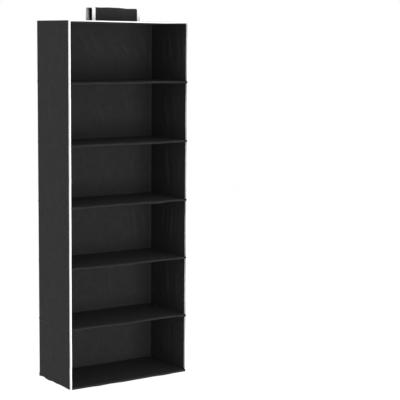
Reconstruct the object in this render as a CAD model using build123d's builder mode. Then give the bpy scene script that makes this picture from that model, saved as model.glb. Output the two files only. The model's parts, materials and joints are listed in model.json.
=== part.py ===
"""Hanging shoe organizer: six fabric compartments under a strap that loops over a closet rod.

The frame is in millimetres, with +Z up, +X to the right of somebody facing the open front,
and -Y out of the front. The origin is on the axis of the closet rod, at mid-width, because
the organizer hangs from there and nothing stands under it.
"""

from build123d import *
import os

# Driving dimensions of the hanging body
body_width = 375
body_depth = 190
body_height = 1000
compartments = 6

# Cloth and boards
wall_thickness = 1.2
cover_thickness = 0.9
board_thickness = 3.2
board_play = 0.2
end_panel_thickness = 6.0
end_board_thickness = 4.0
seam_clearance = 0.3

# Binding tape folded over a raw edge of cloth
binding_width = 8.5
binding_skin = 0.6

# Strap that wraps the closet rod
rod_seat_radius = 16.1
rod_above_panel = 19
strap_width = 153
strap_binding_width = 10
strap_thickness = 1.6
strap_foot_length = 20
strap_end_gap = 1.2
fold_gap = 3.0

# Hook-and-loop closure between the strap's front leg and the sewn tab
tape_thickness = 0.7
tape_height = 7
tape_gap = 0.3
tab_thickness = 1.2
tab_height = 10
tab_foot_length = 10

# Heights that follow from the driving dimensions
panel_top = -rod_above_panel
panel_bottom = panel_top - body_height
shelf_pitch = body_height / compartments
shelf_count = compartments - 1

# Places that follow from the driving dimensions
half_width = body_width / 2
front = -body_depth / 2
back = body_depth / 2
wall_front = front + binding_skin
wall_inner_x = half_width - wall_thickness
wall_inner_y = back - wall_thickness
shelf_half_width = wall_inner_x - binding_skin - seam_clearance
shelf_back = wall_inner_y - seam_clearance
shelf_thickness = board_thickness + board_play + 2 * cover_thickness

# Strap profile radii, from the rod outwards
band_inner = rod_seat_radius + binding_skin
band_outer = band_inner + strap_thickness
band_middle = (band_inner + band_outer) / 2
binding_outer = band_outer + binding_skin
strap_half_width = strap_width / 2
tape_half_width = strap_half_width - strap_binding_width - 1


def save(part, label):
    part.label = label
    export_step(part, f"parts/{label}.step")


def plate(label, x_low, x_high, y_low, y_high, z_low, z_high):
    """A flat rectangular piece of cloth or tape between two corners."""
    with BuildPart() as sheet:
        with BuildSketch(Plane.XY.offset(z_low)):
            with Locations(((x_low + x_high) / 2, (y_low + y_high) / 2)):
                Rectangle(x_high - x_low, y_high - y_low)
        extrude(amount=z_high - z_low)
    save(sheet.part, label)


def walls():
    """Two side walls and the back wall, each one height of cloth from top to bottom panel."""
    plate("left_side_wall", -half_width, -wall_inner_x, wall_front, back, panel_bottom, panel_top)
    plate("right_side_wall", wall_inner_x, half_width, wall_front, back, panel_bottom, panel_top)
    plate("back_wall", -wall_inner_x, wall_inner_x, wall_inner_y, back, panel_bottom, panel_top)


def side_binding(label, side):
    """Tape folded round a side wall's front edge: a channel with the wall in its slot."""
    wall_middle = side * (half_width - wall_thickness / 2)
    with BuildPart() as binding:
        with BuildSketch(Plane.XY.offset(panel_bottom)):
            with Locations((wall_middle, front + binding_width / 2)):
                Rectangle(wall_thickness + 2 * binding_skin, binding_width)
            with Locations((wall_middle, wall_front + binding_width / 2)):
                Rectangle(wall_thickness, binding_width, mode=Mode.SUBTRACT)
        extrude(amount=body_height)
    save(binding.part, label)


def sleeve(label, x_half, y_low, y_high, z_low, z_high, board, lip=0):
    """Cloth sleeve of a shelf or an end panel, open at its back edge where the board goes in.

    A lip is the flat sewn edge in front of the sleeve, which the top binding wraps.
    """
    cavity_low = z_low + cover_thickness
    with BuildPart() as cover:
        with BuildSketch(Plane.XY.offset(z_low)):
            with Locations((0, (y_low + y_high) / 2)):
                Rectangle(2 * x_half, y_high - y_low)
        extrude(amount=z_high - z_low)
        with BuildSketch(Plane.XY.offset(cavity_low)):
            with Locations((0, (y_low + cover_thickness + y_high) / 2)):
                Rectangle(2 * (x_half - cover_thickness), y_high - y_low - cover_thickness)
        extrude(amount=board + board_play, mode=Mode.SUBTRACT)
        if lip:
            with BuildSketch(Plane.XY.offset(z_high - binding_skin - wall_thickness)):
                with Locations((0, y_low - lip / 2)):
                    Rectangle(2 * x_half, lip)
            extrude(amount=wall_thickness)
    save(cover.part, label)


def board(label, x_half, y_low, y_high, z_low, thickness):
    """Stiff greyboard inside a sleeve, short of its seams by the board play."""
    inset = cover_thickness + board_play
    with BuildPart() as stiffener:
        with BuildSketch(Plane.XY.offset(z_low + cover_thickness + board_play / 2)):
            with Locations((0, (y_low + y_high) / 2)):
                RectangleRounded(2 * (x_half - inset), y_high - y_low - 2 * inset, 4)
        extrude(amount=thickness)
    save(stiffener.part, label)


def shelves():
    """Five shelves, one body each, evenly spaced between the top and the bottom panel."""
    for number in range(1, shelf_count + 1):
        z_low = panel_top - number * shelf_pitch - shelf_thickness / 2
        z_high = z_low + shelf_thickness
        name = f"shelf_{number}"
        sleeve(f"{name}_cover", shelf_half_width, front, shelf_back, z_low, z_high, board_thickness)
        board(f"{name}_board", shelf_half_width, front, shelf_back, z_low, board_thickness)


def end_panels():
    """Top panel, which carries the strap and the top binding, and the bottom panel."""
    top_front = front + binding_width + binding_skin
    top_low = panel_top - end_panel_thickness
    lip = top_front - wall_front
    side = wall_inner_x - binding_skin
    sleeve("top_panel_cover", side, top_front, wall_inner_y, top_low, panel_top,
           end_board_thickness, lip)
    board("top_panel_board", side, top_front, wall_inner_y, top_low, end_board_thickness)
    bottom_high = panel_bottom + end_panel_thickness
    sleeve("bottom_panel_cover", shelf_half_width, front, shelf_back, panel_bottom, bottom_high,
           end_board_thickness)
    board("bottom_panel_board", shelf_half_width, front, shelf_back, panel_bottom,
          end_board_thickness)


def top_binding():
    """Tape folded round the sewn lip along the top panel's front edge."""
    length = 2 * (wall_inner_x - binding_skin)
    lip_middle = panel_top - binding_skin - wall_thickness / 2
    with BuildPart() as binding:
        with BuildSketch(Plane.YZ.offset(-length / 2)):
            with Locations((front + binding_width / 2, lip_middle)):
                Rectangle(binding_width, wall_thickness + 2 * binding_skin)
            with Locations((wall_front + binding_width / 2, lip_middle)):
                Rectangle(binding_width, wall_thickness, mode=Mode.SUBTRACT)
        extrude(amount=length)
    save(binding.part, "top_front_binding")


def strap_profile(inner, outer):
    """Over the rod and down the front: half a ring, its rounded rear fold and the front leg."""
    leg_bottom = panel_top + strap_end_gap
    with Locations((0, 0)):
        Circle(outer)
        Circle(inner, mode=Mode.SUBTRACT)
    with Locations((0, -outer / 2)):
        Rectangle(3 * outer, outer, mode=Mode.SUBTRACT)
    with Locations((band_middle, 0)):
        Circle((outer - inner) / 2)
    with Locations((-(inner + outer) / 2, leg_bottom / 2)):
        Rectangle(outer - inner, -leg_bottom)


def strap_band():
    """The moving cloth band that lies over the rod."""
    with BuildPart() as band:
        with BuildSketch(Plane.YZ.offset(-strap_half_width + binding_skin)):
            strap_profile(band_inner, band_outer)
        extrude(amount=strap_width - 2 * binding_skin)
    save(band.part, "strap_band")


def strap_band_binding(label, side):
    """Tape folded round one long edge of the band: a shell with the band in its slot."""
    outer_face = side * strap_half_width
    inner_face = side * (strap_half_width - strap_binding_width)
    slot_face = side * (strap_half_width - binding_skin)
    with BuildPart() as binding:
        with BuildSketch(Plane.YZ.offset(min(outer_face, inner_face))):
            strap_profile(rod_seat_radius, binding_outer)
        extrude(amount=strap_binding_width)
        with BuildSketch(Plane.YZ.offset(min(slot_face, inner_face))):
            strap_profile(band_inner, band_outer)
        extrude(amount=strap_binding_width - binding_skin, mode=Mode.SUBTRACT)
    save(binding.part, label)


def strap_rear_leg():
    """The sewn end of the strap: up from a stitched foot to just below the fold."""
    leg_top = -fold_gap
    with BuildPart() as leg:
        with BuildSketch(Plane.YZ.offset(-strap_half_width + binding_skin)):
            with Locations((band_middle, (leg_top + panel_top) / 2)):
                Rectangle(strap_thickness, leg_top - panel_top)
            with Locations((band_inner + strap_foot_length / 2, panel_top + strap_thickness / 2)):
                Rectangle(strap_foot_length, strap_thickness)
        extrude(amount=strap_width - 2 * binding_skin)
    save(leg.part, "strap_rear_leg")


def strap_rear_binding(label, side):
    """Tape folded round one edge of the rear leg, above the foot."""
    low = panel_top + strap_thickness
    middle = (low - fold_gap) / 2
    tall = -fold_gap - low
    outer_face = side * strap_half_width
    inner_face = side * (strap_half_width - strap_binding_width)
    slot_face = side * (strap_half_width - binding_skin)
    with BuildPart() as binding:
        with BuildSketch(Plane.YZ.offset(min(outer_face, inner_face))):
            with Locations((band_middle, middle)):
                Rectangle(strap_thickness + 2 * binding_skin, tall)
        extrude(amount=strap_binding_width)
        with BuildSketch(Plane.YZ.offset(min(slot_face, inner_face))):
            with Locations((band_middle, middle)):
                Rectangle(strap_thickness, tall)
        extrude(amount=strap_binding_width - binding_skin, mode=Mode.SUBTRACT)
    save(binding.part, label)


def closure():
    """Hook tape inside the front leg, loop tape on the tab behind it, and the sewn tab."""
    tape_low = panel_top + strap_end_gap + 1
    tape_high = tape_low + tape_height
    hook_back = -band_inner + tape_thickness
    loop_front = hook_back + tape_gap
    loop_back = loop_front + tape_thickness
    plate("hook_tape", -tape_half_width, tape_half_width, -band_inner, hook_back,
          tape_low, tape_high)
    plate("loop_tape", -tape_half_width, tape_half_width, loop_front, loop_back,
          tape_low, tape_high)
    with BuildPart() as tab:
        with BuildSketch(Plane.YZ.offset(-tape_half_width)):
            with Locations((loop_back + tab_thickness / 2, panel_top + tab_height / 2)):
                Rectangle(tab_thickness, tab_height)
            with Locations((loop_back + tab_foot_length / 2, panel_top + tab_thickness / 2)):
                Rectangle(tab_foot_length, tab_thickness)
        extrude(amount=2 * tape_half_width)
    save(tab.part, "strap_front_tab")


os.makedirs("parts", exist_ok=True)
walls()
side_binding("left_front_binding", -1)
side_binding("right_front_binding", 1)
end_panels()
top_binding()
shelves()
strap_band()
strap_band_binding("strap_band_binding_left", -1)
strap_band_binding("strap_band_binding_right", 1)
strap_rear_leg()
strap_rear_binding("strap_rear_binding_left", -1)
strap_rear_binding("strap_rear_binding_right", 1)
closure()
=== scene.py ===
"""Looks of a hanging shoe organizer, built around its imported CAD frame. Metres, +Z up."""
import json
import math

import bpy
import numpy as np
from mathutils import Matrix, Vector


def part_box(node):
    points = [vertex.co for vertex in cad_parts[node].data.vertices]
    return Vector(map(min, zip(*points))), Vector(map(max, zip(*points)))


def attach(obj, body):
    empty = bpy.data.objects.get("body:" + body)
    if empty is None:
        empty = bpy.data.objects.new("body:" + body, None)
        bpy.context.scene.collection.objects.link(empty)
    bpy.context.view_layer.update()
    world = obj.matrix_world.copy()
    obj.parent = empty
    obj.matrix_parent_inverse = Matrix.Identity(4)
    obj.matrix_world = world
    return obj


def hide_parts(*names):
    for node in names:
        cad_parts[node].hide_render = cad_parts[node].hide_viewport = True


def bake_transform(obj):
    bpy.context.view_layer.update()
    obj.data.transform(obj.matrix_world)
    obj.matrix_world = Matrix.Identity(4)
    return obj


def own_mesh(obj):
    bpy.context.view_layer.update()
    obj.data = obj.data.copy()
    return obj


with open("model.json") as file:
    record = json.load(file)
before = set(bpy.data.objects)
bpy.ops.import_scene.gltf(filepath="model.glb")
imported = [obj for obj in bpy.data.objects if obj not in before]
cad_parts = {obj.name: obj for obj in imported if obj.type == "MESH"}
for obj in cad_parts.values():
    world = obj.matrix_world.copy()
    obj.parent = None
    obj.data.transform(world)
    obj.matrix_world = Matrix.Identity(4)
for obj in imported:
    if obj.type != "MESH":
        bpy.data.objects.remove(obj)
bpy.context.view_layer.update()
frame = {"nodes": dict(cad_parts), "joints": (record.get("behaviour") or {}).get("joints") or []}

MM = 0.001

# ---- sizes and places, read from the frame ----
left_low, left_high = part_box("left_side_wall")
right_low, right_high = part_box("right_side_wall")
binding_low, binding_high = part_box("left_front_binding")
top_binding_low, top_binding_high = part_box("top_front_binding")
_, back_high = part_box("back_wall")
top_low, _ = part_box("top_panel_cover")
bottom_low, bottom_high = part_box("bottom_panel_cover")
_, leg_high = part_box("strap_rear_leg")
band_low, band_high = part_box("strap_band")
edge_low, edge_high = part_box("strap_band_binding_left")
hook_low, hook_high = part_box("hook_tape")
loop_low, loop_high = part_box("loop_tape")
tab_low, tab_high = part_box("strap_front_tab")

cloth = right_high.x - right_low.x
outer_x = right_high.x
front_y = binding_low.y
wall_front_y = left_low.y
back_y = back_high.y
top_z = left_high.z
bottom_z = left_low.z
height = top_z - bottom_z
shelf_names = [f"shelf_{k}" for k in range(1, 6)]
compartments = len(shelf_names) + 1
pitch = height / compartments
wall_x = outer_x - cloth / 2
wall_back_y = back_y - cloth / 2
tape_width = binding_high.y - binding_low.y
tape_half = (binding_high.x - binding_low.x) / 2
corner_radius = 2.5 * MM
pin_margin = 9 * MM
corner_x = wall_x - corner_radius
rows_per_compartment = 32
wall_rows = compartments * rows_per_compartment

fold = next(j for j in frame["joints"] if j["name"] == "fold_up")
fold_keep = 1 - fold["range_m"][1] / height
hinge = Vector(next(j for j in frame["joints"] if j["name"] == "strap_fold")["pos_m"])


# ---- small tools ----
def ripple(points, seed, shortest, longest, waves=12):
    """Smooth, seeded unevenness of about -1 to 1 at the given points: a sum of plane waves."""
    points = np.asarray(points, float)
    flat = points.reshape(-1, points.shape[-1])
    random = np.random.default_rng(seed)
    total = np.zeros(len(flat))
    for _ in range(waves):
        way = random.normal(size=flat.shape[1])
        way /= np.linalg.norm(way)
        length = random.uniform(shortest, longest)
        total += np.sin(2 * math.pi * (flat @ way) / length + random.uniform(0, 2 * math.pi))
    return (total / math.sqrt(waves)).reshape(points.shape[:-1])


def unevenness(values, seed, shortest, longest, waves=6):
    """The same along one line."""
    return ripple(np.asarray(values, float)[..., None], seed, shortest, longest, waves)


def smooth_step(low, high, value):
    t = np.clip((np.asarray(value, float) - low) / (high - low), 0, 1)
    return t * t * (3 - 2 * t)


def stacked(*parts):
    """Points from coordinates that are broadcast together."""
    return np.stack(np.broadcast_arrays(*parts), -1)


def ground_over(rows, columns):
    """Every pair of the two runs of values, as a grid."""
    return np.stack(np.meshgrid(rows, columns, indexing="ij"), -1)


def run_length(points):
    """How far each point of a polyline is from its start, along it."""
    return np.concatenate([[0], np.cumsum(np.linalg.norm(np.diff(points, axis=0), axis=1))])


def grid_faces(rows, columns, close_columns=False):
    """Quads over a grid of points, rows first."""
    i, j = np.meshgrid(np.arange(rows - 1), np.arange(columns - (not close_columns)), indexing="ij")
    a, b = i * columns + j, i * columns + (j + 1) % columns
    return stacked(a, b, b + columns, a + columns).reshape(-1, 4)


def make_mesh(name, points, faces, uv=None, wear_and_crease_highlight=None):
    """A mesh piece. uv is in metres along the cloth, and the last argument marks, from 0 to 1, rubbed
    edges and, on the walls, a painted highlight along the creases.
    """
    points = np.asarray(points, float).reshape(-1, 3)
    mesh = bpy.data.meshes.new(name)
    mesh.from_pydata(points.tolist(), [], [list(map(int, f)) for f in faces])
    mesh.validate()
    flat_uv = points[:, :2] if uv is None else np.asarray(uv, float).reshape(-1, 2)
    layer = mesh.uv_layers.new(name="cloth")
    corners = np.zeros(len(mesh.loops), np.int32)
    mesh.loops.foreach_get("vertex_index", corners)
    layer.data.foreach_set("uv", flat_uv[corners].astype(np.float32).ravel())
    rubbed = mesh.attributes.new("wear_and_crease_highlight", "FLOAT", "POINT")
    values = np.zeros(len(points)) if wear_and_crease_highlight is None else np.asarray(wear_and_crease_highlight, float).reshape(-1)
    rubbed.data.foreach_set("value", values.astype(np.float32))
    mesh.shade_smooth()
    piece = bpy.data.objects.new(name, mesh)
    bpy.context.scene.collection.objects.link(piece)
    return piece


def paint(piece, material):
    piece.data.materials.append(material)
    return piece


def coordinates(piece):
    flat = np.zeros(len(piece.data.vertices) * 3)
    piece.data.vertices.foreach_get("co", flat)
    return flat.reshape(-1, 3)


def move_to(piece, points):
    piece.data.vertices.foreach_set("co", points.astype(np.float32).ravel())
    piece.data.update()


def apply_modifiers(piece):
    """Turns what the modifiers make into the piece's own mesh."""
    graph = bpy.context.evaluated_depsgraph_get()
    made = bpy.data.meshes.new_from_object(piece.evaluated_get(graph))
    piece.modifiers.clear()
    piece.data = made
    return piece


def thicken(piece, thickness):
    """Gives a sheet its thickness, half to each side."""
    solid = piece.modifiers.new("thickness", "SOLIDIFY")
    solid.thickness = thickness
    solid.offset = 0
    apply_modifiers(piece)
    piece.data.set_sharp_from_angle(angle=math.radians(50))
    return piece


def sweeps(name, runs):
    """Closed profiles carried along their paths, as one piece.

    A run is (path, sides, ups, profile), and profile holds (side, up) pairs for each station.
    """
    points, faces, uvs, start = [], [], [], 0
    for path, sides, ups, profile in runs:
        if profile.ndim == 2:
            profile = np.repeat(profile[None], len(path), 0)
        own = path[:, None] + sides[:, None] * profile[..., :1] + ups[:, None] * profile[..., 1:]
        rows, columns = own.shape[:2]
        faces += (grid_faces(rows, columns, close_columns=True) + start).tolist()
        faces.append(list(range(start, start + columns))[::-1])
        faces.append([start + (rows - 1) * columns + j for j in range(columns)])
        points.append(own.reshape(-1, 3))
        uvs.append(ground_over(run_length(path), run_length(profile[0])).reshape(-1, 2))
        start += rows * columns
    piece = make_mesh(name, np.concatenate(points), faces, np.concatenate(uvs))
    piece.data.set_sharp_from_angle(angle=math.radians(55))
    return piece


def resample(points, spacing):
    """Points at even spacing along a polyline, and the way it runs at each."""
    points = np.asarray(points, float)
    along = run_length(points)
    count = max(2, int(round(along[-1] / spacing)) + 1)
    wanted = np.linspace(0, along[-1], count)
    made = np.stack([np.interp(wanted, along, points[:, k]) for k in range(3)], -1)
    way = np.gradient(made, axis=0)
    way /= np.linalg.norm(way, axis=1)[:, None]
    return made, way


def spread_over(rows, count):
    """The same vectors, eased out over another number of stations."""
    source, target = np.linspace(0, 1, len(rows)), np.linspace(0, 1, count)
    return np.stack([np.interp(target, source, rows[:, k]) for k in range(3)], -1)


def alike(vector, count):
    """One vector for every station."""
    return np.repeat(np.array([vector], float), count, 0)


def tube_faces(start, rings, sides):
    """Quads between the rings of a tube whose points begin at start."""
    faces = []
    for ring in range(rings - 1):
        for k in range(sides):
            a = start + ring * sides + k
            b = start + ring * sides + (k + 1) % sides
            faces.append((a, b, b + sides, a + sides))
    return faces


stitch_rings = ((-0.72, 0.8), (0.0, 1.15), (0.72, 0.8))


def stitches(name, lines, material, step=3.2 * MM, length=2.5 * MM, radius=0.24 * MM):
    """Rows of machine stitches. Each line is (points, outward normals) on a cloth surface."""
    sides, rings = 5, len(stitch_rings)
    points, faces = [], []
    for line, outward in lines:
        placed, way = resample(line, step)
        normal = np.asarray(outward, float)
        if normal.ndim == 1:
            normal = alike(normal, len(placed))
        else:
            normal = spread_over(normal, len(placed))
        for place, along, up in zip(placed, way, normal):
            side = np.cross(along, up)
            side /= np.linalg.norm(side)
            start = len(points)
            for reach, girth in stitch_rings:
                for k in range(sides):
                    turn = 2 * math.pi * k / sides
                    ring = side * math.cos(turn) + up * math.sin(turn)
                    points.append(place + along * reach * length / 2 + ring * girth * radius)
            points.append(place - along * length / 2 - up * radius)
            points.append(place + along * length / 2 - up * radius)
            faces += tube_faces(start, rings, sides)
            end = start + (rings - 1) * sides
            first, last = end + sides, end + sides + 1
            for k in range(sides):
                faces.append((start + (k + 1) % sides, start + k, first))
                faces.append((end + k, end + (k + 1) % sides, last))
    return paint(make_mesh(name, points, faces), material)


# ---- materials ----
class Nodes:
    """Short hand for a material's node tree."""

    def __init__(self, name):
        self.material = bpy.data.materials.new(name)
        self.material.use_nodes = True
        self.tree = self.material.node_tree
        self.shader = self.tree.nodes["Principled BSDF"]

    def add(self, kind, inputs=None, **settings):
        node = self.tree.nodes.new(kind)
        for key, value in settings.items():
            setattr(node, key, value)
        for key, value in (inputs or {}).items():
            self.feed(node.inputs[key], value)
        return node

    def feed(self, socket, value):
        if isinstance(value, bpy.types.NodeSocket):
            self.tree.links.new(value, socket)
        else:
            socket.default_value = value

    def cloth_uv(self, scale):
        """The place on the cloth, in 1/scale metres."""
        uv = self.add("ShaderNodeUVMap", uv_map="cloth")
        size = self.add("ShaderNodeMapping", {"Vector": uv.outputs["UV"]})
        size.inputs["Scale"].default_value = (scale[0], scale[1], 1)
        return size.outputs["Vector"]

    def place(self):
        return self.add("ShaderNodeTexCoord").outputs["Object"]

    def noise(self, vector, scale, detail=3.0, rough=0.55):
        inputs = {"Vector": vector, "Scale": scale, "Detail": detail, "Roughness": rough}
        return self.add("ShaderNodeTexNoise", inputs).outputs["Fac"]

    def math(self, operation, *values):
        node = self.add("ShaderNodeMath", operation=operation)
        for socket, value in zip(node.inputs, values):
            self.feed(socket, value)
        return node.outputs[0]

    def ramp(self, value, stops):
        node = self.add("ShaderNodeValToRGB", {"Fac": value})
        elements = node.color_ramp.elements
        while len(elements) < len(stops):
            elements.new(0.5)
        for element, (place, shade) in zip(elements, stops):
            element.position = place
            colour = (shade,) * 3 if isinstance(shade, float) else shade
            element.color = (*colour, 1)
        return node.outputs["Color"]

    def mix(self, kind, amount, a, b):
        node = self.add("ShaderNodeMix", data_type="RGBA", blend_type=kind)
        self.feed(node.inputs[0], amount)
        self.feed(node.inputs[6], a)
        self.feed(node.inputs[7], b)
        return node.outputs[2]

    def bump(self, value, strength, distance, under=None):
        inputs = {"Height": value, "Strength": strength, "Distance": distance}
        if under is not None:
            inputs["Normal"] = under
        return self.add("ShaderNodeBump", inputs).outputs["Normal"]

    def between(self, value, low, high, first=0.0, last=1.0):
        """The value's run from first to last, laid over low to high."""
        inputs = {"Value": value, "From Min": first, "From Max": last, "To Min": low, "To Max": high}
        return self.add("ShaderNodeMapRange", inputs).outputs["Result"]

    def surface(self, **values):
        """Puts values on the shader's inputs, whose names are written with _ for a space."""
        for key, value in values.items():
            self.feed(self.shader.inputs[key.replace("_", " ")], value)
        return self.material


def tint(shade, warmth=0.0):
    return (shade * (1 + warmth), shade, shade * (1 - warmth))


def nonwoven(name, shade, sheen):
    """Black spun-bonded cloth: cloudy fibres, a bond point every 1.6 mm, rubbed edges, and a painted
    highlight along the walls' creases.
    """
    n = Nodes(name)
    fine = n.cloth_uv((1000, 1000))
    clouds = n.noise(n.place(), 55.0, 4.0, 0.6)
    fibres = n.noise(n.cloth_uv((260, 900)), 1.6, 5.0, 0.7)
    crossed = n.noise(n.cloth_uv((950, 300)), 1.5, 5.0, 0.7)
    web = n.math("MULTIPLY", fibres, crossed)
    bonds = n.add("ShaderNodeTexVoronoi", {"Vector": fine, "Scale": 0.62, "Randomness": 0.25})
    points = n.ramp(bonds.outputs["Distance"], ((0.18, 0.0), (0.42, 1.0)))
    cloudy = n.ramp(clouds, ((0.25, tint(shade * 0.84)), (0.75, tint(shade * 1.16))))
    fibre_shade = n.ramp(web, ((0.12, 0.72), (0.42, 1.25)))
    coloured = n.mix("MULTIPLY", 0.6, cloudy, fibre_shade)
    pressed = n.mix("MULTIPLY", 0.18, coloured, points)
    wear_and_crease_highlight = n.add("ShaderNodeAttribute", attribute_name="wear_and_crease_highlight").outputs["Fac"]
    patchy_wear_and_highlight = n.math("MULTIPLY", wear_and_crease_highlight, n.noise(n.place(), 160.0, 3.0))
    # Lightens the colour by the mark: rubbed edges and seams are real wear, the crease lines on the
    # walls are a painted highlight.
    worn_and_highlit = n.mix("MIX", n.math("MULTIPLY", patchy_wear_and_highlight, 0.5), pressed, (*tint(shade * 2.1), 1))
    web_bump = n.bump(web, 0.35, 0.00012)
    bond_bump = n.bump(points, 0.3, 0.00012, web_bump)
    slack = n.noise(n.place(), 42.0, 2.0, 0.45)
    soft_bump = n.bump(slack, 0.22, 0.0011, bond_bump)
    rough = n.between(web, 0.94, 0.78, 0.1, 0.45)
    return n.surface(Base_Color=worn_and_highlit, Roughness=rough, Normal=soft_bump, Sheen_Weight=sheen,
                     Sheen_Roughness=0.55, Specular_IOR_Level=0.12)


def ribbed_tape(name, shade):
    """White woven binding tape: fine cross ribs, slightly soiled."""
    n = Nodes(name)
    along = n.cloth_uv((1, 1))
    ribs = n.add("ShaderNodeTexWave", {"Vector": along, "Scale": 420.0, "Distortion": 0.6,
                                       "Detail": 1.0, "Detail Scale": 2.0})
    threads = n.noise(n.cloth_uv((900, 900)), 1.0, 3.0)
    soil = n.noise(n.place(), 38.0, 4.0, 0.6)
    clean = n.ramp(soil, ((0.3, tint(shade * 0.95, 0.004)), (0.62, tint(shade))))
    ribbed = n.mix("MULTIPLY", 0.16, clean, n.ramp(ribs.outputs["Fac"], ((0.2, 0.72), (0.7, 1.0))))
    spun = n.mix("MULTIPLY", 0.12, ribbed, n.ramp(threads, ((0.3, 0.75), (0.6, 1.0))))
    thread_bump = n.bump(threads, 0.3, 0.0001)
    rib_bump = n.bump(ribs.outputs["Fac"], 0.45, 0.00016, thread_bump)
    return n.surface(Base_Color=spun, Roughness=n.between(threads, 0.7, 0.9), Normal=rib_bump,
                     Sheen_Weight=0.1, Specular_IOR_Level=0.3)


def thread(name, shade):
    """Twisted sewing thread."""
    n = Nodes(name)
    fuzz = n.noise(n.place(), 2500.0, 2.0)
    colour = n.ramp(fuzz, ((0.3, tint(shade * 0.75)), (0.7, tint(shade * 1.1))))
    return n.surface(Base_Color=colour, Roughness=n.between(fuzz, 0.5, 0.75),
                     Normal=n.bump(fuzz, 0.3, 0.0001), Specular_IOR_Level=0.35)


def greyboard(name):
    """Recycled board with flecks of pulp."""
    n = Nodes(name)
    pulp = n.noise(n.place(), 90.0, 6.0, 0.65)
    flecks = n.noise(n.place(), 700.0, 2.0, 0.5)
    ground = n.ramp(pulp, ((0.3, (0.30, 0.28, 0.25)), (0.7, (0.40, 0.375, 0.34))))
    speck = n.ramp(flecks, ((0.34, (0.12, 0.11, 0.10)), (0.42, (1.0, 1.0, 1.0))))
    return n.surface(Base_Color=n.mix("MULTIPLY", 0.7, ground, speck),
                     Roughness=n.between(pulp, 0.8, 0.95), Normal=n.bump(pulp, 0.3, 0.0003),
                     Specular_IOR_Level=0.2)


def nylon(name, shade, grain, distance, roughness):
    """Hook or loop nylon, told apart by its grain."""
    n = Nodes(name)
    pile = n.noise(n.place(), grain, 3.0, 0.6)
    colour = n.ramp(pile, ((0.3, tint(shade * 0.6)), (0.7, tint(shade * 1.4))))
    rough = n.between(pile, roughness - 0.1, roughness + 0.1)
    return n.surface(Base_Color=colour, Roughness=rough, Normal=n.bump(pile, 0.5, distance),
                     Specular_IOR_Level=0.4)


black_cloth = nonwoven("black_cloth", 0.0205, 0.02)
# A darker copy of the same black cloth for the shelves' sleeves: painted shade on their tops and front
# hems.
shelf_cloth_with_painted_shade = nonwoven("shelf_cloth_with_painted_shade", 0.014, 0.01)
strap_cloth = nonwoven("strap_cloth", 0.0205, 0.02)
white_tape = ribbed_tape("white_tape", 0.88)
black_thread = thread("black_thread", 0.022)
white_thread = thread("white_thread", 0.82)
board_material = greyboard("greyboard")
hook_nylon = nylon("hook_nylon", 0.018, 900.0, 0.0002, 0.5)
loop_nylon = nylon("loop_nylon", 0.022, 1500.0, 0.0004, 0.85)


# ---- walls ----
wall_levels = np.linspace(top_z, bottom_z, wall_rows + 1)
level_index = np.arange(wall_rows + 1)
within = (level_index % rows_per_compartment) / rows_per_compartment
between_shelves = np.sin(math.pi * within) ** 2
sewn_level = level_index % rows_per_compartment == 0


def level_drift(across, seed):
    """How far a wall's bottom edge strays up and down, fading out above it."""
    hem = unevenness(across, seed, 0.04, 0.13) * 0.7 * MM
    near_bottom = smooth_step(bottom_z + 0.03, bottom_z, wall_levels[:, None])
    return near_bottom * hem[None]


def creases(across, seed, counts, zone, leans, depths, widths):
    """Soft drape lines in each compartment, as a height over the sheet.

    counts and depths have the number and the height in each compartment, zone is where along
    the sheet they start, leans how far each compartment's run sideways for each metre down,
    and widths the narrowest and the widest.
    """
    random = np.random.default_rng(seed)
    across = np.asarray(across, float)
    low, high = across.min(), across.max()
    window = smooth_step(0, 0.014, across - low - pin_margin)
    window = window * smooth_step(0, 0.014, high - across - pin_margin)
    heights = np.zeros((wall_rows + 1, len(across)))
    for k in range(compartments):
        rows = slice(k * rows_per_compartment, (k + 1) * rows_per_compartment + 1)
        down = np.linspace(0, pitch, rows_per_compartment + 1)[:, None]
        for start in np.sort(random.uniform(*zone, counts[k])):
            lean = leans[k] + random.uniform(-0.12, 0.12)
            width = random.uniform(*widths)
            middle = random.uniform(0.25, 0.75) * pitch
            reach = random.uniform(0.25, 0.5) * pitch
            bow = random.uniform(-0.3, 0.3) * down * (pitch - down) / pitch
            off = across[None] - (start + lean * down + bow)
            fade = np.exp(-((down - middle) / reach) ** 2)
            size = random.uniform(0.5, 1.0) * depths[k] * random.choice([-1, 1])
            heights[rows] += size * fade * np.exp(-(off / width) ** 2)
    return heights * window[None] * np.sqrt(between_shelves)[:, None]


def side_wall_points(side):
    """A side wall from its front edge to the back and round the corner; rows run downwards."""
    straight = np.linspace(wall_front_y, wall_back_y - corner_radius, 45)
    turn = np.linspace(0, math.pi / 2, 6)[1:]
    across_y = np.concatenate([straight, wall_back_y - corner_radius + corner_radius * np.sin(turn)])
    across_x = np.concatenate([np.full(len(straight), wall_x), corner_x + corner_radius * np.cos(turn)])
    seed = 11 if side < 0 else 12
    pull = np.random.default_rng(seed).uniform(0.6, 1.4, compartments + 1)
    waist = between_shelves * pull[level_index // rows_per_compartment]
    waist = waist[:, None] * np.exp(-(across_y - wall_front_y) / 0.06)[None]
    if side < 0:
        counts, zone, leans = (3,) * 6, (-0.06, 0.07), (0.1, 0.1, 0.0, -0.1, 0.1, 0.2)
        depths, widths = (0.8 * MM,) * 6, (9 * MM, 16 * MM)
    else:
        counts, zone, leans = (7, 4, 4, 5, 4, 4), (-0.07, 0.04), (-0.3, -0.15, -0.1, 0.1, -0.15, 0.1)
        depths, widths = (2.2 * MM,) * 6, (6 * MM, 12 * MM)
    drape = creases(across_y, seed, counts, zone, leans, depths, widths)
    x = side * (across_x[None] - 0.35 * MM * waist + drape)
    y = across_y[None] + 0.3 * MM * waist
    z = wall_levels[:, None] + level_drift(across_y, seed + 20)
    return stacked(x, y, z), drape


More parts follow.
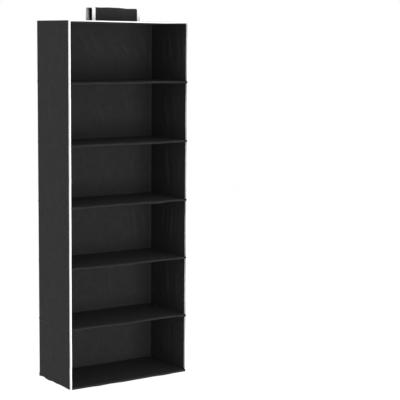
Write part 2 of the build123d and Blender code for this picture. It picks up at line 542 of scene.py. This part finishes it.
def back_wall_points():
    across_x = np.linspace(-corner_x, corner_x, 91)
    leans = (0.68, 0.15, -0.1, 0.2, 0.05, -0.1)
    counts = (13, 4, 4, 5, 3, 4)
    depths = tuple(size * MM for size in (2.3, 1.6, 1.7, 1.9, 1.6, 1.5))
    drape = creases(across_x, 43, counts, (-0.09, 0.15), leans, depths, (4 * MM, 7.5 * MM))
    z = wall_levels[:, None] + level_drift(across_x, 41)
    return stacked(across_x[None], wall_back_y + drape, z), drape


def cut_shape(points, spare, lean):
    """The sheet as it was cut: a little larger than where it hangs, and off square.

    lean is the shear of each compartment's cloth, which draws slanting creases.
    """
    cut = points.copy()
    middle = points.reshape(-1, 3).mean(0)
    cut = middle + (cut - middle) * (1 + spare)
    slip = np.concatenate([[0], np.cumsum(np.repeat(lean, rows_per_compartment))])
    step = height / wall_rows
    direction = 0 if np.ptp(points[..., 0]) > np.ptp(points[..., 1]) else 1
    cut[..., direction] -= (slip * step)[:, None]
    return cut


def add_cloth(piece, pinned, cut, bending):
    """Cloth physics on a sheet that is sewn along its pinned points."""
    sewn = piece.vertex_groups.new(name="sewn")
    sewn.add([int(i) for i in np.flatnonzero(pinned.ravel())], 1.0, "REPLACE")
    piece.shape_key_add(name="hung")
    key = piece.shape_key_add(name="cut")
    key.data.foreach_set("co", cut.reshape(-1).astype(np.float32))
    key.value = 0
    modifier = piece.modifiers.new("Cloth", "CLOTH")
    modifier.collision_settings.use_collision = False
    settings = modifier.settings
    settings.vertex_group_mass = "sewn"
    settings.rest_shape_key = key
    settings.quality = 6
    settings.mass = 0.1
    settings.tension_stiffness = 30
    settings.compression_stiffness = 30
    settings.shear_stiffness = 15
    settings.bending_stiffness = bending
    settings.air_damping = 2


def settle(pieces, frames, furthest):
    """Runs the cloth on all the pieces at once and keeps each one's final shape."""
    scene = bpy.context.scene
    rest = {p.name: coordinates(p) for p in pieces}
    for number in range(1, frames + 1):
        scene.frame_set(number)
    graph = bpy.context.evaluated_depsgraph_get()
    for piece in pieces:
        moved = coordinates(piece.evaluated_get(graph)) - rest[piece.name]
        length = np.linalg.norm(moved, axis=1, keepdims=True)
        piece.modifiers.clear()
        piece.shape_key_clear()
        move_to(piece, rest[piece.name] + moved * np.minimum(1, furthest / np.maximum(length, 1e-9)))
    scene.frame_set(1)


def sheet_uv(points):
    """Distances along and across the sheet, in metres."""
    return ground_over(top_z - points[:, 0, 2], run_length(points[0]))[..., ::-1]


def sheet_wear_and_crease_highlight(points, drape):
    """Rubbed at the sheet's edges and along its sewn levels, with a painted highlight on its creases:
    lighter along the crests and hollows of the drape.
    """
    columns = points.shape[1]
    from_side = np.minimum(np.arange(columns), np.arange(columns)[::-1])[None] * 5.2 * MM
    gap = np.minimum(within, 1 - within)[:, None] * pitch
    edge = 1 - smooth_step(0, 0.012, from_side)
    seam = 0.6 * (1 - smooth_step(0, 0.008, gap))
    # Painted highlight: the cloth is lightened along the crests and hollows of the drape, so the creases
    # read as lighter lines.
    crest = 0.8 * np.clip(np.abs(drape) / (1.4 * MM), 0, 1) ** 2
    return np.clip(edge + seam + crest, 0, 1)


def clear_of_shelves(name, grid):
    """Takes out the inward folds that would cut into the panels once the walls are squashed."""
    panel_half = (bottom_high.z - bottom_low.z) / 2 / fold_keep
    ramp = 18 * MM
    gap = np.minimum(within, 1 - within) * pitch
    from_end = np.minimum(top_z - wall_levels, wall_levels - bottom_z)
    share = smooth_step(panel_half, panel_half + ramp, gap)
    share = share * smooth_step(2 * panel_half, 2 * panel_half + ramp, from_end)
    lost = 1 - share[:, None]
    if name == "back_panel":
        grid[..., 1] -= lost * np.minimum(grid[..., 1] - wall_back_y, 0)
    else:
        side = -1 if name == "left_wall" else 1
        straight = grid[..., 1] < wall_back_y - corner_radius
        grid[..., 0] -= side * lost * straight * np.minimum(side * grid[..., 0] - wall_x, 0)
    return grid


def hang_walls():
    """The three walls, each a sheet sewn along its edges and at every shelf."""
    shapes = {
        "left_wall": (side_wall_points(-1), (-0.004, 0.003, -0.002, 0.004, -0.003, 0.005)),
        "right_wall": (side_wall_points(1), (0.009, -0.006, 0.007, -0.008, 0.006, -0.005)),
        "back_panel": (back_wall_points(), (0.010, 0.006, -0.007, 0.007, -0.006, 0.004)),
    }
    pieces = {}
    for name, ((points, drape), lean) in shapes.items():
        rows, columns = points.shape[:2]
        piece = make_mesh(name, points, grid_faces(rows, columns), sheet_uv(points),
                          sheet_wear_and_crease_highlight(points, drape))
        run = sheet_uv(points)[0, :, 0]
        pinned = np.zeros((rows, columns), bool)
        pinned[sewn_level] = True
        pinned[:, (run < pin_margin) | (run > run[-1] - pin_margin)] = True
        add_cloth(piece, pinned, cut_shape(points, 0.0035, lean), 1.2)
        pieces[name] = piece
    settle(list(pieces.values()), 18, 5 * MM)
    surfaces = {}
    for name, piece in pieces.items():
        grid = coordinates(piece).reshape(wall_rows + 1, -1, 3)
        surfaces[name] = clear_of_shelves(name, grid)
        move_to(piece, grid)
        paint(thicken(piece, cloth), black_cloth)
    return pieces, surfaces


walls, surfaces = hang_walls()


def wall_normals(name):
    """Outward normals of a wall's sheet, level by level."""
    points = surfaces[name]
    down = np.gradient(points, axis=0)
    across = np.gradient(points, axis=1)
    normal = np.cross(across, down)
    normal /= np.linalg.norm(normal, axis=-1, keepdims=True)
    outward = points.copy()
    outward[..., 2] = 0
    flip = np.sign((normal * outward).sum(-1, keepdims=True))
    return normal * np.where(flip == 0, 1, flip)


normals = {name: wall_normals(name) for name in surfaces}


def first_bare(wall):
    """The first column of a wall's sheet that its front tape leaves bare."""
    return 0 if wall == "back_panel" else int(np.argmax(surfaces[wall][0, :, 1] > binding_high.y))


seam_proud = 0.55 * MM


def seam_profile(half, sunk, shoulder, rise, crest):
    """(side, up) pairs over a flat seam, alike on both sides."""
    left = [(-half, -sunk), (-half * shoulder, seam_proud * rise), (-half * crest, seam_proud)]
    return np.array(left + [(-side, up) for side, up in left[::-1]])


def welts(name, wall):
    """The folded seam that shows outside at every shelf, and its stitches."""
    half = 2.6 * MM
    profile = seam_profile(half, 0.2 * MM, 0.85, 0.55, 0.35)
    runs, lines = [], []
    for k in range(1, compartments):
        row = k * rows_per_compartment
        first = first_bare(wall)
        path = surfaces[wall][row, first:]
        out = normals[wall][row, first:]
        up = alike((0, 0, 1), len(path))
        wobble = unevenness(np.arange(len(path)) * 5 * MM, 60 + k, 0.03, 0.09) * 0.25 * MM
        shape = profile[None] * (1 + wobble[:, None, None] / half)
        runs.append((path + out * cloth / 2, up, out, shape))
        lines.append((path + out * (cloth / 2 + seam_proud + 0.1 * MM), out))
    seams = paint(sweeps(name, runs), black_cloth)
    return [seams, stitches(f"{name}_stitches", lines, black_thread)]


# ---- binding tape ----
def tape_profile(half, width, swell):
    """Tape folded round an edge: (out, forward) pairs from one cut edge round the nose."""
    nose = [(half * math.cos(a), half * (math.sin(a) - 1)) for a in np.linspace(0, math.pi, 7)]
    return np.array([(half * 0.8, -width), (half * 1.04, -width * 0.85),
                     (half * (1 + swell), -width * 0.5), *nose,
                     (-half * (1 + swell), -width * 0.5), (-half * 1.04, -width * 0.85),
                     (-half * 0.8, -width)])


def bind(name, edge, out, forward, seed, width=tape_width, half=tape_half, spacing=2.6 * MM):
    """Tape and its two rows of stitches along an edge. forward points off the edge."""
    path, way = resample(edge, spacing)
    outs, forwards = spread_over(out, len(path)), spread_over(forward, len(path))
    outs /= np.linalg.norm(outs, axis=1)[:, None]
    forwards /= np.linalg.norm(forwards, axis=1)[:, None]
    along = np.arange(len(path)) * spacing
    shape = np.repeat(tape_profile(half, width, 0.08)[None], len(path), 0)
    shape[:, :, 1] *= 1 + 0.015 * unevenness(along, seed, 0.02, 0.08)[:, None]
    shape[:, :, 0] *= 1 + 0.03 * unevenness(along, seed + 1, 0.008, 0.03)[:, None]
    nose = path + forwards * front_tape
    nose = nose + outs * (unevenness(along, seed + 2, 0.05, 0.2) * 0.08 * MM)[:, None]
    tape = paint(sweeps(name, [(nose, outs, forwards, shape)]), white_tape)
    lines = []
    for face in (1, -1):
        seam = nose - forwards * width * 0.72 + outs * face * half * 1.06
        lines.append((seam, outs * face))
    return [tape, stitches(f"{name}_stitches", lines, white_thread)]


front_tape = wall_front_y - front_y


def side_binding(side):
    name = "left_binding" if side < 0 else "right_binding"
    wall = "left_wall" if side < 0 else "right_wall"
    edge = surfaces[wall][:, 0]
    out, forward = alike((side, 0, 0), len(edge)), alike((0, -1, 0), len(edge))
    return bind(name, edge, out, forward, 71 if side < 0 else 81)


# ---- sleeves of the shelves and the end panels ----
def closed_slab(name, upper, lower, wear_and_crease_highlight=None):
    """One closed mesh from an upper and a lower grid that share an outline."""
    rows, half_columns = upper.shape[:2]
    points = np.concatenate([upper, lower[:, ::-1]], 1)
    columns = points.shape[1]
    faces = grid_faces(rows, columns, close_columns=True).tolist()
    for end, flip in ((0, False), (rows - 1, True)):
        for j in range(half_columns - 1):
            face = [end * columns + j, end * columns + j + 1,
                    end * columns + columns - 2 - j, end * columns + columns - 1 - j]
            faces.append(face if flip else face[::-1])
    uv = points[..., :2].copy()
    uv[:, half_columns:, 1] += 1.0
    rubbed = None if wear_and_crease_highlight is None else np.concatenate([wear_and_crease_highlight, wear_and_crease_highlight[:, ::-1]], 1)
    return make_mesh(name, points, faces, uv, rubbed)


def clear_of_board(upper, lower, board):
    """Lifts the two grids off the stiff board between them."""
    low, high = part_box(board)
    spare, beside, ahead = 0.25 * MM, 0.5 * MM, 1.3 * MM
    over = np.abs(upper[..., 0]) < high.x + beside
    over &= (upper[..., 1] > low.y - ahead) & (upper[..., 1] < high.y + beside)
    upper[..., 2] = np.where(over, np.maximum(upper[..., 2], high.z + spare), upper[..., 2])
    lower[..., 2] = np.where(over, np.minimum(lower[..., 2], low.z - spare), lower[..., 2])


def padded_slab(name, node, xs, ys, top, under, wear_and_crease_highlight=None):
    """A slab round a board, and its upper and lower grids."""
    upper, lower = stacked(xs[:, None], ys, top), stacked(xs[:, None], ys, under)
    clear_of_board(upper, lower, f"{node}_board")
    return closed_slab(name, upper, lower, wear_and_crease_highlight), upper, lower


def edge_rows(half, board_half):
    """Stations across a panel, close together beside the board's edge."""
    edge = np.array([board_half + 0.35 * MM, (board_half + half) / 2, half - 0.25 * MM, half])
    inner = np.linspace(-board_half + 1 * MM, board_half - 1 * MM, 71)
    return np.concatenate([-edge[::-1], inner, edge])


def sleeve(name, node, seed, hem, wave):
    """A cloth sleeve round a board: flat over it, pinched at its sewn sides, hemmed in front.

    hem is how far the loose front fold stands ahead of the CAD sleeve, and wave how much it
    strays up and down.
    """
    low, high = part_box(f"{node}_cover")
    board_low, board_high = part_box(f"{node}_board")
    half_x = wall_x - cloth / 2 - 0.1 * MM
    y_front, y_back = low.y - hem, wall_back_y - cloth / 2 + 0.1 * MM
    middle, half_z = (low.z + high.z) / 2, (high.z - low.z) / 2
    xs = edge_rows(half_x, board_high.x)
    front = np.array([0, 0.25, 0.8, 1.6, 2.6, 4.0, 5.6]) * MM + y_front
    ys = np.concatenate([front, np.linspace(front[-1] + 3 * MM, board_high.y - 2 * MM, 38),
                         [board_high.y + 0.3 * MM, y_back]])
    nose = np.sqrt(np.clip(1 - (1 - np.clip((ys - y_front) / (2.4 * MM), 0, 1)) ** 2, 0.05, 1))
    tail = 0.4 + 0.6 * smooth_step(0, 1.4 * MM, y_back - ys)
    side = 0.4 + 0.6 * smooth_step(0, 1.8 * MM, half_x - np.abs(xs))
    thick = half_z * side[:, None] * (nose * tail)[None]
    ground = ground_over(xs, ys)
    loose = 0.3 * MM * smooth_step(0, 12 * MM, half_x - np.abs(xs))[:, None]
    near_front = (1 - smooth_step(2 * MM, 10 * MM, ys - y_front))[None]
    drift = unevenness(xs, seed + 2, 0.07, 0.3, 7)[:, None] * wave * near_front
    top = middle + thick + drift + loose * ripple(ground, seed, 0.05, 0.2) * 0.7
    slack = 0.5 + 0.5 * ripple(ground, seed + 1, 0.05, 0.2)
    under = middle - thick + drift - loose * slack
    shift = unevenness(xs, seed + 3, 0.05, 0.25)[:, None] * 0.4 * MM * near_front
    y_grid = ys[None] + shift
    rubbed = 0.25 * (1 - smooth_step(0, 7 * MM, y_grid - y_front))
    piece, upper, lower = padded_slab(name, node, xs, y_grid, top, under, rubbed)
    # The sleeve takes the darker copy of the cloth, which is painted shade.
    paint(piece, shelf_cloth_with_painted_shade)
    seam = int(np.argmin(np.abs(ys - (y_front + 6.5 * MM))))
    lift = np.array([0, 0, 0.1 * MM])
    lines = [(upper[4:-4, seam] + lift, np.array([0, 0, 1.0])),
             (lower[4:-4, seam] - lift, np.array([0, 0, -1.0]))]
    return [piece, stitches(f"{name}_stitches", lines, black_thread)]


# ---- top panel and its binding ----
def top_sag(x):
    """The top's front edge: level at the left corner, and sagging towards the right."""
    share = (np.asarray(x, float) + outer_x) / (2 * outer_x)
    return (0.2 - 2.4 * smooth_step(0, 0.78, share) + 1.2 * smooth_step(0.78, 1, share)) * MM


def top_panel():
    """The top's sleeve, which thins to a sewn lip under the front binding."""
    board_low, board_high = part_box("top_panel_board")
    half_x = wall_x - cloth / 2 - 0.1 * MM
    lip_y = top_binding_high.y
    ys = np.concatenate([np.linspace(wall_front_y, lip_y, 8), lip_y + np.array([0.35, 0.8, 1.3]) * MM,
                         np.linspace(board_low.y + 3 * MM, board_high.y - 2 * MM, 34),
                         [board_high.y + 0.3 * MM, wall_back_y - cloth / 2]])
    xs = edge_rows(half_x, board_high.x)
    lip_middle = top_z - tape_half
    body = smooth_step(lip_y, lip_y + 1 * MM, ys)[None]
    ground = ground_over(xs, ys)
    inside = smooth_step(0, 10 * MM, half_x - np.abs(xs))[:, None] * body
    lip_top, lip_under = lip_middle + cloth / 2, lip_middle - cloth / 2
    top = lip_top + (top_z - lip_top) * body - 0.15 * MM
    top = top + inside * ripple(ground, 151, 0.05, 0.2) * 0.2 * MM
    under = lip_under - (lip_under - top_low.z) * body
    under = under - inside * (0.3 + 0.3 * ripple(ground, 152, 0.05, 0.2)) * MM
    tilt = np.clip(1 - (ys - wall_front_y) / (lip_y - wall_front_y), 0, 1)[None]
    sag = top_sag(xs)[:, None] * tilt
    piece, _, _ = padded_slab("top_sleeve", "top_panel", xs, ys[None], top + sag, under + sag)
    return paint(piece, black_cloth)


def top_front_tape():
    """White tape along the top's front edge, tilted where the edge sags."""
    xs = np.linspace(top_binding_low.x, top_binding_high.x, 80)
    lip_middle = (top_binding_low.z + top_binding_high.z) / 2
    sag = top_sag(xs)
    edge = stacked(xs, wall_front_y, lip_middle + sag)
    up = stacked(0, sag, tape_width)
    forward = stacked(0, -tape_width, sag)
    return bind("top_binding", edge, up, forward, 91)


# ---- strap ----
leg_y = hinge.y
strap_half = -band_low.x
strap_cloth_thickness = 2 * (band_high.z - leg_y)
strap_edge_half = edge_high.z - leg_y
strap_edge_width = edge_high.x - edge_low.x
strap_top_z = hinge.y
strap_corner = 4.5 * MM


def arc(centre, radius, start, stop, steps):
    angles = np.radians(np.linspace(start, stop, steps))
    return np.stack([centre[0] + radius * np.cos(angles), centre[1] + radius * np.sin(angles)], -1)


def strap_path(with_foot):
    """The strap's run in (y, z), from the sewn foot up, over and down the front."""
    foot_z = top_z + strap_cloth_thickness / 2
    bend = 2.2 * MM
    if with_foot:
        knee = arc((leg_y + bend, foot_z + bend), bend, 270, 180, 6)
        run = [np.array([[leg_high.y, foot_z]]), knee]
    else:
        run = [np.array([[leg_y, foot_z + bend + 0.4 * MM]])]
    c = strap_corner
    run.append(arc((leg_y - c, strap_top_z - c), c, 0, 90, 8))
    run.append(arc((c - leg_y, strap_top_z - c), c, 90, 180, 8))
    run.append(np.array([[-leg_y, band_low.z]]))
    line = np.concatenate(run)
    line = stacked(0, line[:, 0], line[:, 1])
    return resample(line, 1.5 * MM)


def strap_sink(x, z):
    """The strap stands a little lower towards the right, and its top is slightly crowned."""
    share = np.clip((x + strap_half) / (2 * strap_half), 0, 1)
    drop = -2.3 * smooth_step(0.1, 1.05, share) + 0.35 * np.sin(math.pi * share)
    return drop * MM * np.clip((z - top_z) / (strap_top_z - top_z), 0, 1)


def strap_surface():
    path, way = strap_path(True)
    xs = np.linspace(-strap_half, strap_half, 60)
    x, s = np.meshgrid(xs, np.arange(len(path)))
    y, z = path[s, 1], path[s, 2]
    normal = stacked(0, way[:, 2], -way[:, 1])
    inside = np.sin(math.pi * np.clip((x / strap_half + 1) / 2, 0, 1)) ** 0.5
    free = smooth_step(0, 8 * MM, z - top_z - 1 * MM)
    run = np.arange(len(path))[:, None] * 1.5 * MM
    ground = stacked(x, run)
    bulge = ripple(ground, 201, 0.03, 0.12, 10) * 0.45 * MM
    on_top = smooth_step(8 * MM, 2 * MM, np.abs(y)) * (z > 0)
    bulge = bulge * inside * free - on_top * 0.9 * MM * inside
    points = stacked(x, y, z + strap_sink(x, z))
    return points + normal[:, None] * bulge[..., None], xs, run[:, 0]


def add_strap():
    """One doubled cloth strap with white tape on both long edges, and its stitching."""
    points, xs, run = strap_surface()
    rows, columns = points.shape[:2]
    uv = ground_over(run, xs)[..., ::-1]
    strap = make_mesh("strap", points, grid_faces(rows, columns), uv)
    paint(thicken(strap, strap_cloth_thickness), strap_cloth)
    made = []
    path, way = strap_path(False)
    out = stacked(0, way[:, 2], -way[:, 1])
    for side, name in ((-1, "strap_left_tape"), (1, "strap_right_tape")):
        x = side * strap_half
        edge = path + np.array([[x, 0, 0]])
        edge[:, 2] += strap_sink(np.full(len(edge), x), edge[:, 2])
        forward = alike((side, 0, 0), len(edge))
        made += bind(name, edge, out, forward, 210 + side, strap_edge_width, strap_edge_half,
                     1.4 * MM)
    foot_top = top_z + strap_cloth_thickness + 0.1 * MM
    near, far = leg_y + 4.5 * MM, leg_high.y - 2.5 * MM
    reach = strap_half - 4 * MM
    box = [(-reach, near), (reach, near), (reach, far), (-reach, far), (-reach, near)]
    cross = [[(-reach, near), (-reach / 2, far)], [(-reach / 2, near), (-reach, far)],
             [(reach, near), (reach / 2, far)], [(reach / 2, near), (reach, far)]]
    lines = []
    for pair in [box[k:k + 2] for k in range(4)] + cross:
        lines.append((np.array([(x, y, foot_top) for x, y in pair]), np.array([0, 0, 1.0])))
    foot = stitches("strap_foot_stitches", lines, black_thread)
    return strap, made, foot


def add_tab():
    """The small sewn tab that carries the loop tape."""
    thickness = cloth
    mid_y = tab_low.y + thickness / 2
    foot_z = top_z + thickness / 2
    bend = 1.4 * MM
    knee = arc((mid_y + bend, foot_z + bend), bend, 180, 270, 6)
    line = np.concatenate([[[mid_y, tab_high.z]], knee, [[tab_high.y, foot_z]]])
    line = stacked(0, line[:, 0], line[:, 1])
    path, _ = resample(line, 1.2 * MM)
    xs = np.linspace(tab_low.x, tab_high.x, 50)
    x, s = np.meshgrid(xs, np.arange(len(path)))
    lift = smooth_step(0, 6 * MM, path[s, 2] - top_z)
    sway = unevenness(xs, 231, 0.03, 0.1)[None] * 0.12 * MM * lift
    points = stacked(x, path[s, 1] + sway, path[s, 2])
    tab = make_mesh("strap_tab", points, grid_faces(*points.shape[:2]), stacked(x, s * 1.2 * MM))
    paint(thicken(tab, thickness), strap_cloth)
    sewn_x = np.array([tab_low.x + 3 * MM, tab_high.x - 3 * MM])
    line = stacked(sewn_x, tab_high.y - 2.5 * MM, top_z + thickness + 0.1 * MM)
    sewn = stitches("strap_tab_stitches", [(line, np.array([0, 0, 1.0]))], black_thread)
    return tab, sewn


def tiny_tubes(name, lines, radius, material, sides=4):
    """Many short bent fibres, each a closed tube along its own points."""
    points, faces = [], []
    for line in lines:
        line = np.asarray(line, float)
        way = np.gradient(line, axis=0)
        way /= np.linalg.norm(way, axis=1)[:, None]
        other = np.array([0.3, 0.1, 0.95]) if abs(way[0][2]) < 0.8 else np.array([0.95, 0.1, 0.3])
        start = len(points)
        for place, along in zip(line, way):
            u = np.cross(along, other)
            u /= np.linalg.norm(u)
            v = np.cross(along, u)
            for k in range(sides):
                turn = 2 * math.pi * k / sides
                points.append(place + radius * (math.cos(turn) * u + math.sin(turn) * v))
        faces += tube_faces(start, len(line), sides)
        end = start + (len(line) - 1) * sides
        faces.append(tuple(start + k for k in range(sides))[::-1])
        faces.append(tuple(end + k for k in range(sides)))
    return paint(make_mesh(name, points, faces), material)


def tape_base(name, low, high, front, back, material):
    """The woven ground of a closure strip, with softened edges."""
    xs = np.linspace(low.x, high.x, 60)
    zs = np.linspace(low.z, high.z, 8)
    x, z = np.meshgrid(xs, zs, indexing="ij")
    edge = np.minimum(np.minimum(x - low.x, high.x - x), np.minimum(z - low.z, high.z - z))
    soft = 0.4 + 0.6 * smooth_step(0, 0.8 * MM, edge)
    middle, half = (front + back) / 2, abs(back - front) / 2
    near, far = stacked(x, middle - half * soft, z), stacked(x, middle + half * soft, z)
    return paint(closed_slab(name, near, far), material)


def add_closure():
    """Hook strip inside the front leg, and loop strip facing it on the tab."""
    random = np.random.default_rng(241)
    ground = 0.3 * MM
    hook_base = tape_base("hook_strip", hook_low, hook_high, hook_low.y, hook_low.y + ground,
                          hook_nylon)
    tall = hook_high.y - hook_low.y - ground
    hooks = []
    for x in np.arange(hook_low.x + 1 * MM, hook_high.x - 1 * MM, 1.5 * MM):
        for z in np.arange(hook_low.z + 0.9 * MM, hook_high.z - 0.5 * MM, 1.1 * MM):
            turn = random.choice([-1, 1])
            steps = np.linspace(0, 1, 5)
            curl = 0.32 * MM * np.sin(steps * 2.4) * turn
            rise = hook_low.y + ground * 0.8 + tall * np.sin(np.minimum(steps * 1.35, 1) * math.pi / 2)
            rise = np.where(steps > 0.8, rise - tall * 0.2, rise)
            hooks.append(stacked(x + curl, rise, z + random.uniform(-0.1, 0.1) * MM))
    hook_field = tiny_tubes("hook_strip_hooks", hooks, 0.09 * MM, hook_nylon)
    loop_base = tape_base("loop_strip", loop_low, loop_high, loop_high.y - ground, loop_high.y,
                          loop_nylon)
    reach = loop_high.y - loop_low.y - ground
    loops = []
    count = int((loop_high.x - loop_low.x) * (loop_high.z - loop_low.z) / (MM * MM) * 1.1)
    for _ in range(count):
        x = random.uniform(loop_low.x + 0.6 * MM, loop_high.x - 0.6 * MM)
        z = random.uniform(loop_low.z + 0.5 * MM, loop_high.z - 0.5 * MM)
        angle = random.uniform(0, math.pi)
        wide = random.uniform(0.25, 0.5) * MM
        tall = reach * random.uniform(0.55, 0.95)
        turn = np.linspace(0, math.pi, 6)
        off = wide * np.cos(turn)
        rise = loop_high.y - ground * 0.8 - tall * np.sin(turn)
        loops.append(stacked(x + off * math.cos(angle), rise, z + off * math.sin(angle)))
    loop_field = tiny_tubes("loop_strip_loops", loops, 0.05 * MM, loop_nylon, 3)
    return (hook_base, hook_field), (loop_base, loop_field)


# ---- seams of the walls ----
def corner_seams():
    """Flat-felled seams down the back corners."""
    half = 3.6 * MM
    profile = seam_profile(half, 0.3 * MM, 0.9, 0.6, 0.5)
    zs = np.linspace(top_z, bottom_z, 181)
    runs, lines = [], []
    for side in (-1, 1):
        x = side * (corner_x - 3.2 * MM)
        drift = unevenness(zs, 301 + side, 0.05, 0.2) * 0.3 * MM
        path = stacked(x + drift, back_y, zs)
        sides, outs = alike((1, 0, 0), len(zs)), alike((0, 1, 0), len(zs))
        swell = 1 + 0.25 * unevenness(zs, 311 + side, 0.01, 0.04)
        shape = np.repeat(profile[None], len(zs), 0)
        shape[:, :, 1] *= swell[:, None]
        runs.append((path, sides, outs, shape))
        for off in (-0.6, 0.6):
            line = path + np.array([[off * half, seam_proud + 0.12 * MM, 0]])
            lines.append((line, np.array([0, 1.0, 0])))
    seams = paint(sweeps("corner_seams", runs), black_cloth)
    return [seams, stitches("corner_seams_stitches", lines, black_thread)]


def edge_hems():
    """Turned hem along the walls' lower edge and the stitch line under their upper edge."""
    tall = 11 * MM
    proud = 0.6 * MM
    runs, lines = [], []
    for number, wall in enumerate(("left_wall", "back_panel", "right_wall")):
        first = first_bare(wall)
        base = surfaces[wall][-1, first:]
        out = normals[wall][-1, first:].copy()
        out[:, 2] = 0
        out /= np.linalg.norm(out, axis=1)[:, None]
        run = np.arange(len(base)) * 4 * MM
        pucker = 0.25 * MM * unevenness(run, 321 + number, 0.01, 0.035)
        up = alike((0, 0, 1), len(base))
        shape = np.array([(0.1 * MM, -0.3 * MM), (0.2 * MM, proud), (tall * 0.5, proud),
                          (tall * 0.93, proud * 0.8), (tall, 0.0), (tall * 0.9, -0.3 * MM)])
        shape = np.repeat(shape[None], len(base), 0)
        shape[:, 1:4, 1] += pucker[:, None] + 0.05 * MM
        runs.append((base + out * cloth / 2, up, out, shape))
        low = base + out * (cloth / 2 + proud + 0.15 * MM) + up * (tall * 0.72)
        lines.append((low, out))
        upper = surfaces[wall][0, first:] + out * (cloth / 2 + 0.15 * MM) - up * 4.5 * MM
        lines.append((upper, out))
    hem = paint(sweeps("bottom_hem", runs), black_cloth)
    return [hem, stitches("edge_stitches", lines, black_thread)]


# ---- put the pieces together ----
def fit(pieces, body, slot_name, *nodes):
    """Puts pieces on a body. The first of them stands for the CAD nodes that are named."""
    for piece in pieces:
        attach(piece, body)
    if nodes:
        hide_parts(*nodes)


def gather(pieces, slot_name, *nodes):
    """Hangs pieces on the root, each with a mesh of its own."""
    fit(pieces, "root", slot_name, *nodes)
    for piece in pieces:
        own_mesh(piece)


depth_cut = back_y - wall_front_y
wall_cuts = {"left_wall": ("left_side_wall", depth_cut), "right_wall": ("right_side_wall", depth_cut),
             "back_panel": ("back_wall", 2 * corner_x)}
for wall, (node, cut) in wall_cuts.items():
    gather([walls[wall]], "black_cloth", node)
    gather(welts(f"{wall}_seams", wall), "black_cloth")
gather(corner_seams() + edge_hems(), "black_cloth")
gather(side_binding(-1), "white_binding", "left_front_binding")
gather(side_binding(1), "white_binding", "right_front_binding")

for number, shelf in enumerate(shelf_names):
    made = sleeve(f"{shelf}_sleeve", shelf, 100 + 10 * number, 1.5 * MM, 0.9 * MM)
    fit(made, shelf, "black_cloth", f"{shelf}_cover")
made = sleeve("bottom_sleeve", "bottom_panel", 170, 0.6 * MM, 0.6 * MM)
fit(made, "bottom_panel", "black_cloth", "bottom_panel_cover")
fit([top_panel()], "root", "black_cloth", "top_panel_cover")
fit(top_front_tape(), "root", "white_binding", "top_front_binding")

strap, strap_tapes, foot_stitches = add_strap()
for piece in [strap, *strap_tapes]:
    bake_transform(piece)
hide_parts("strap_band", "strap_rear_leg")
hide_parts("strap_band_binding_left", "strap_rear_binding_left")
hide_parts("strap_band_binding_right", "strap_rear_binding_right")
fit([foot_stitches], "root", "black_cloth")

fit(add_tab(), "root", "strap_cloth", "strap_front_tab")
hooks, loops = add_closure()
fit(hooks, "strap_flap", "hook_tape", "hook_tape")
fit(loops, "root", "loop_tape", "loop_tape")

for node in frame["nodes"]:
    if node.endswith("_board"):
        slots = frame["nodes"][node].data.materials
        slots.clear()
        slots.append(board_material)


# ---- floor, light and camera ----
def stage_floor():
    """A pale floor so wide that its edge is never seen."""
    reach = 500.0
    below = bottom_z - 0.9
    floor = make_mesh("floor", [(-reach, -reach, below), (reach, -reach, below),
                                (reach, reach, below), (-reach, reach, below)], [(0, 1, 2, 3)])
    n = Nodes("pale_floor")
    mottled = n.ramp(n.noise(n.place(), 3.0), ((0.3, 0.93), (0.7, 0.95)))
    floor.data.materials.append(n.surface(Base_Color=mottled, Roughness=0.9, Emission_Color=(1, 1, 1, 1),
                                          Emission_Strength=0.055))


def studio():
    """White surroundings, and one wide soft light from the front."""
    world = bpy.data.worlds.new("studio")
    world.use_nodes = True
    sky = world.node_tree.nodes["Background"]
    sky.inputs["Color"].default_value = (1, 1, 1, 1)
    sky.inputs["Strength"].default_value = 1.0
    bpy.context.scene.world = world
    data = bpy.data.lights.new("front", "AREA")
    data.shape = "RECTANGLE"
    data.size = 2.4
    data.size_y = 1.7
    data.energy = 92
    light = bpy.data.objects.new("front", data)
    light.location = (0.35, -3.4, -0.62)
    aim = Vector((0, 0, (top_z + bottom_z) / 2)) - light.location
    light.rotation_euler = aim.to_track_quat("-Z", "Y").to_euler()
    bpy.context.scene.collection.objects.link(light)


def photo_camera():
    """Level with the top and to the left, looking down the body, without any lens shift."""
    yaw, pitch_down, roll = math.radians(34.46), math.radians(7.22), math.radians(0.48)
    data = bpy.data.cameras.new("camera")
    data.lens = 115.69
    data.sensor_width = 36
    data.clip_end = 1500
    camera = bpy.data.objects.new("camera", data)
    turn = Matrix.Rotation(-yaw, 4, "Z") @ Matrix.Rotation(math.pi / 2 - pitch_down, 4, "X")
    place = Matrix.Translation((-1.832, -3.1024, top_z - 0.0415))
    camera.matrix_world = place @ turn @ Matrix.Rotation(roll, 4, "Z")
    bpy.context.scene.collection.objects.link(camera)
    bpy.context.scene.camera = camera


stage_floor()
studio()
photo_camera()
bpy.context.scene.view_settings.view_transform = "Standard"
